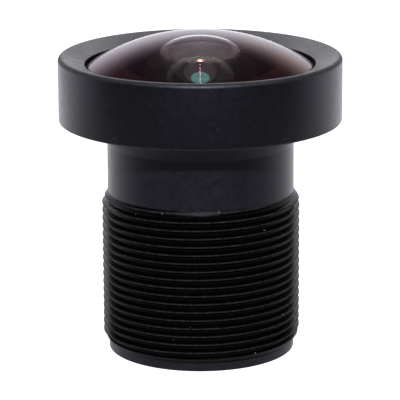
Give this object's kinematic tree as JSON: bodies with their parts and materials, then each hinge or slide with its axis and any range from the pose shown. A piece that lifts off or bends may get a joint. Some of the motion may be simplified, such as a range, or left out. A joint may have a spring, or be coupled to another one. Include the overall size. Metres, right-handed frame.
{
  "type": "board camera lens",
  "caption": "Wide-angle board camera lens with a domed front glass in a broad cap, on a fine-threaded barrel that screws into a lens holder.",
  "frame": {"origin": "centre of the rear face, on the optical axis", "axes": "+Z along the optical axis towards the front glass; the part is round, so +X and +Y are free, and the picture looks along +Y"},
  "size_m": [0.0172, 0.0172, 0.0195],
  "materials": {
    "anodised_aluminium": "bead-blasted and black anodised, satin",
    "ring_aluminium": "turned and black anodised, satin",
    "blackened_rings": "turned and blackened, matt",
    "black_film": "matt black film",
    "front_glass": "polished optical glass with a purple-brown anti-reflection coating, blackened rim",
    "inner_glass": "polished optical glass with a blue-green anti-reflection coating, blackened rim",
    "filter_glass": "flat glass with an infrared-cut coating that reflects magenta",
    "seal_rubber": "black rubber",
    "black_glue": "cured black glue, semi-gloss"
  },
  "bodies": {
    "root": {"barrel": "anodised_aluminium", "front_cap": "anodised_aluminium", "rear_retaining_ring": "ring_aluminium", "front_spacer": "blackened_rings", "second_spacer": "blackened_rings", "stop_spacer": "blackened_rings", "middle_spacer": "blackened_rings", "rear_spacer": "blackened_rings", "front_baffle": "black_film", "middle_baffle": "black_film", "aperture_stop": "black_film", "front_element": "front_glass", "second_element": "inner_glass", "third_element": "inner_glass", "fourth_element": "inner_glass", "doublet_front_element": "inner_glass", "doublet_rear_element": "inner_glass", "rear_element": "inner_glass", "ir_filter": "filter_glass", "front_seal": "seal_rubber", "filter_glue": "black_glue"}
  },
  "joints": []
}
